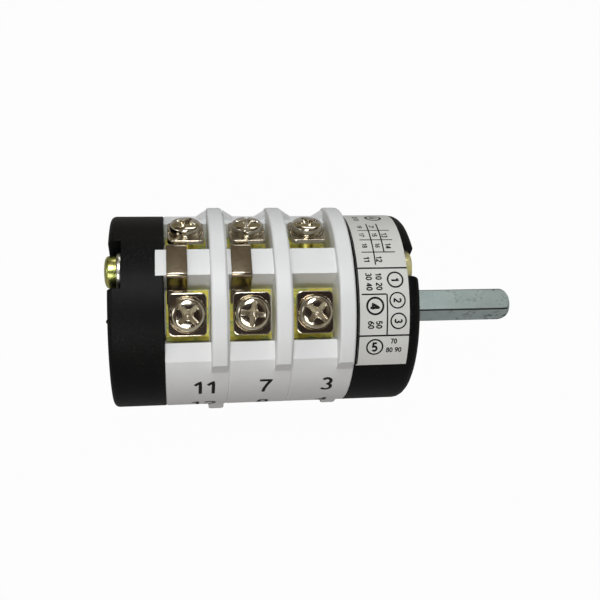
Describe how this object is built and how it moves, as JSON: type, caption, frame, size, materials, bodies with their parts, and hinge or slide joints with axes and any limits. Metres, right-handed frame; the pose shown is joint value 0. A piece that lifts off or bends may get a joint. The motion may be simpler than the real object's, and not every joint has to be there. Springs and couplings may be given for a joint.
{
  "type": "rotary cam switch",
  "caption": "Panel-mounted rotary cam switch: white contact stages with clamp screw terminals between black end caps, turned by a bare square shaft.",
  "frame": {"origin": "centre of the front cap's mounting face, on the shaft's axis", "axes": "+X along the shaft and out of its free end; +Z midway between the two rows of terminals that carry the jumper strips; +Y towards terminals 1, 5 and 9"},
  "size_m": [0.0987, 0.045, 0.049],
  "materials": {
    "black_moulding": "satin, slightly dusty moulded plastic",
    "white_moulding": "satin white moulded plastic",
    "passivated_terminal": "yellow-green passivated plate",
    "nickel_plate": "bright warm nickel plate",
    "nickel_screw": "bright warm nickel plate",
    "nickel_strip": "dull warm nickel plate",
    "yellow_zinc": "yellow passivated zinc",
    "zinc_washer": "bright zinc",
    "insert_brass": "turned brass",
    "label_film": "off-white printed film",
    "zinc_shaft": "blue-grey zinc plate, smudged",
    "ring_steel": "blackened spring steel",
    "spring_steel": "bright spring steel",
    "cam_plastic": "moulded plastic",
    "plunger_plastic": "moulded plastic",
    "contact_copper": "copper bridge with silver buttons",
    "rotor_plastic": "moulded plastic"
  },
  "bodies": {
    "housing": {"rear_cap": "black_moulding", "front_cap": "black_moulding", "stage_body_1": "white_moulding", "clamp_plates_1": "nickel_plate", "terminal_screws_1": "nickel_screw", "stage_body_2": "white_moulding", "clamp_plates_2": "nickel_plate", "terminal_screws_2": "nickel_screw", "stage_body_3": "white_moulding", "clamp_plates_3": "nickel_plate", "terminal_screws_3": "nickel_screw", "terminal_1": "passivated_terminal", "terminal_2": "passivated_terminal", "terminal_3": "passivated_terminal", "terminal_4": "passivated_terminal", "terminal_5": "passivated_terminal", "terminal_6": "passivated_terminal", "terminal_7": "passivated_terminal", "terminal_8": "passivated_terminal", "terminal_9": "passivated_terminal", "terminal_10": "passivated_terminal", "terminal_11": "passivated_terminal", "terminal_12": "passivated_terminal", "jumper_1": "nickel_strip", "leaf_spring_1": "spring_steel", "jumper_2": "nickel_strip", "leaf_spring_2": "spring_steel", "contact_spring_1": "spring_steel", "contact_spring_2": "spring_steel", "contact_spring_3": "spring_steel", "contact_spring_4": "spring_steel", "contact_spring_5": "spring_steel", "contact_spring_6": "spring_steel", "through_bolts": "yellow_zinc", "bolt_nuts": "yellow_zinc", "bolt_washers": "zinc_washer", "threaded_inserts": "insert_brass", "rating_label": "label_film"},
    "rotor": {"shaft": "zinc_shaft", "retaining_ring": "ring_steel", "cam_1": "cam_plastic", "cam_2": "cam_plastic", "cam_3": "cam_plastic", "detent_rotor": "rotor_plastic"},
    "contact_1": {"plunger_1": "plunger_plastic", "bridge_1": "contact_copper"},
    "contact_2": {"plunger_2": "plunger_plastic", "bridge_2": "contact_copper"},
    "contact_3": {"plunger_3": "plunger_plastic", "bridge_3": "contact_copper"},
    "contact_4": {"plunger_4": "plunger_plastic", "bridge_4": "contact_copper"},
    "contact_5": {"plunger_5": "plunger_plastic", "bridge_5": "contact_copper"},
    "contact_6": {"plunger_6": "plunger_plastic", "bridge_6": "contact_copper"}
  },
  "joints": [
    {"name": "shaft_turn", "type": "hinge", "parent": "housing", "child": "rotor", "pos_m": [0, 0, 0], "axis": [1, 0, 0], "range_deg": [-45, 45], "deforming": ["leaf_spring_1", "leaf_spring_2"]},
    {"name": "contact_slide_1", "type": "slide", "parent": "housing", "child": "contact_1", "axis": [0, 1, 0], "range_m": [-0.0015, 0.0015], "deforming": ["contact_spring_1"]},
    {"name": "contact_slide_2", "type": "slide", "parent": "housing", "child": "contact_2", "axis": [0, -1, 0], "range_m": [-0.0015, 0.0015], "deforming": ["contact_spring_2"]},
    {"name": "contact_slide_3", "type": "slide", "parent": "housing", "child": "contact_3", "axis": [0, 1, 0], "range_m": [-0.0015, 0.0015], "deforming": ["contact_spring_3"]},
    {"name": "contact_slide_4", "type": "slide", "parent": "housing", "child": "contact_4", "axis": [0, -1, 0], "range_m": [-0.0015, 0.0015], "deforming": ["contact_spring_4"]},
    {"name": "contact_slide_5", "type": "slide", "parent": "housing", "child": "contact_5", "axis": [0, 1, 0], "range_m": [-0.0015, 0.0015], "deforming": ["contact_spring_5"]},
    {"name": "contact_slide_6", "type": "slide", "parent": "housing", "child": "contact_6", "axis": [0, -1, 0], "range_m": [-0.0015, 0.0015], "deforming": ["contact_spring_6"]}
  ],
  "couplings": [
    {"joint": "contact_slide_1", "follows": "shaft_turn", "m_per_rad": 0.0019098},
    {"joint": "contact_slide_2", "follows": "shaft_turn", "m_per_rad": -0.0019098},
    {"joint": "contact_slide_3", "follows": "shaft_turn", "m_per_rad": 0.0019098},
    {"joint": "contact_slide_4", "follows": "shaft_turn", "m_per_rad": -0.0019098},
    {"joint": "contact_slide_5", "follows": "shaft_turn", "m_per_rad": 0.0019098},
    {"joint": "contact_slide_6", "follows": "shaft_turn", "m_per_rad": -0.0019098}
  ]
}
